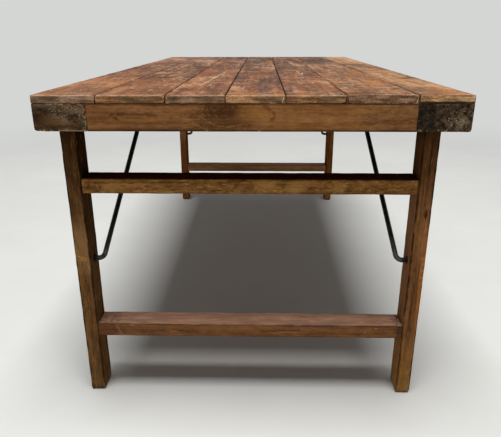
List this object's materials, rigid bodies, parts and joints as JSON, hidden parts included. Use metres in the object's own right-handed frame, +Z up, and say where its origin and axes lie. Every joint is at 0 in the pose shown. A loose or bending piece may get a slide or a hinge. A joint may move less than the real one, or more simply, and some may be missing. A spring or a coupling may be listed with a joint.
{
  "type": "folding dining table",
  "caption": "Folding dining table with a plank top on flat side rails, leg frames hinged to fold flat beneath it and iron stay rods that hook into the legs and swing up under the top.",
  "frame": {"origin": "on the floor under the middle of the top", "axes": "+Z up, +Y along the table from the near end to the far end, +X across it to the right"},
  "size_m": [0.914, 1.78, 0.762],
  "materials": {
    "board_1": "worn oiled hardwood, warm brown",
    "board_7": "worn oiled hardwood, light orange brown",
    "board_inner": "worn oiled hardwood, reddish brown with darker patches",
    "rail_wood": "dark weathered hardwood",
    "end_rail_wood": "golden brown hardwood",
    "bearer_wood": "unfinished hardwood",
    "leg_wood": "dark brown oiled hardwood",
    "upper_stretcher_wood": "golden olive hardwood",
    "lower_stretcher_wood": "brown hardwood",
    "peg_wood": "plain hardwood pegs",
    "black_iron": "worn black iron",
    "hinge_iron": "dull dark iron",
    "screw_steel": "dull steel"
  },
  "bodies": {
    "top": {"board_1": "board_1", "board_2": "board_inner", "board_3": "board_inner", "board_4": "board_inner", "board_5": "board_inner", "board_6": "board_inner", "board_7": "board_7", "side_rail_left": "rail_wood", "side_rail_right": "rail_wood", "end_rail_near": "end_rail_wood", "end_rail_far": "end_rail_wood", "bearer_near": "bearer_wood", "bearer_middle": "bearer_wood", "bearer_far": "bearer_wood", "rail_pegs": "peg_wood", "board_screws": "screw_steel", "eye_plate_near_left": "black_iron", "eye_plate_near_right": "black_iron", "eye_plate_far_left": "black_iron", "eye_plate_far_right": "black_iron", "eye_plate_screws": "screw_steel", "hinge_top_leaf_near_left": "hinge_iron", "hinge_top_leaf_near_right": "hinge_iron", "hinge_top_leaf_far_left": "hinge_iron", "hinge_top_leaf_far_right": "hinge_iron", "hinge_pin_near_left": "screw_steel", "hinge_pin_near_right": "screw_steel", "hinge_pin_far_left": "screw_steel", "hinge_pin_far_right": "screw_steel", "hinge_top_screws": "screw_steel"},
    "near_leg_frame": {"leg_near_left": "leg_wood", "leg_near_right": "leg_wood", "upper_stretcher_near": "upper_stretcher_wood", "lower_stretcher_near": "lower_stretcher_wood", "frame_pegs_near": "peg_wood", "hinge_leg_leaf_near_left": "hinge_iron", "hinge_leg_leaf_near_right": "hinge_iron", "hinge_leg_screws_near": "screw_steel"},
    "far_leg_frame": {"leg_far_left": "leg_wood", "leg_far_right": "leg_wood", "upper_stretcher_far": "upper_stretcher_wood", "lower_stretcher_far": "lower_stretcher_wood", "frame_pegs_far": "peg_wood", "hinge_leg_leaf_far_left": "hinge_iron", "hinge_leg_leaf_far_right": "hinge_iron", "hinge_leg_screws_far": "screw_steel"},
    "stay_near_left": {"stay_near_left": "black_iron"},
    "stay_near_right": {"stay_near_right": "black_iron"},
    "stay_far_left": {"stay_far_left": "black_iron"},
    "stay_far_right": {"stay_far_right": "black_iron"}
  },
  "joints": [
    {"name": "near_leg_fold", "type": "hinge", "parent": "top", "child": "near_leg_frame", "pos_m": [-0.0055, -0.7847, 0.6817], "axis": [1, 0, 0], "range_deg": [0, 90]},
    {"name": "far_leg_fold", "type": "hinge", "parent": "top", "child": "far_leg_frame", "pos_m": [-0.0055, 0.7847, 0.6817], "axis": [-1, 0, 0], "range_deg": [0, 90]},
    {"name": "stay_near_left_swing", "type": "hinge", "parent": "top", "child": "stay_near_left", "pos_m": [-0.309, -0.49, 0.6958], "axis": [0.9885, -0.1513, 0], "range_deg": [0, 135]},
    {"name": "stay_near_right_swing", "type": "hinge", "parent": "top", "child": "stay_near_right", "pos_m": [0.298, -0.49, 0.6958], "axis": [0.9885, 0.1513, 0], "range_deg": [0, 135]},
    {"name": "stay_far_left_swing", "type": "hinge", "parent": "top", "child": "stay_far_left", "pos_m": [-0.309, 0.49, 0.6958], "axis": [-0.9885, -0.1513, 0], "range_deg": [0, 135]},
    {"name": "stay_far_right_swing", "type": "hinge", "parent": "top", "child": "stay_far_right", "pos_m": [0.298, 0.49, 0.6958], "axis": [-0.9885, 0.1513, 0], "range_deg": [0, 135]}
  ],
  "couplings": [
    {"joint": "stay_near_left_swing", "follows": "near_leg_fold", "ratio": 1.5},
    {"joint": "stay_near_right_swing", "follows": "near_leg_fold", "ratio": 1.5},
    {"joint": "stay_far_left_swing", "follows": "far_leg_fold", "ratio": 1.5},
    {"joint": "stay_far_right_swing", "follows": "far_leg_fold", "ratio": 1.5}
  ]
}
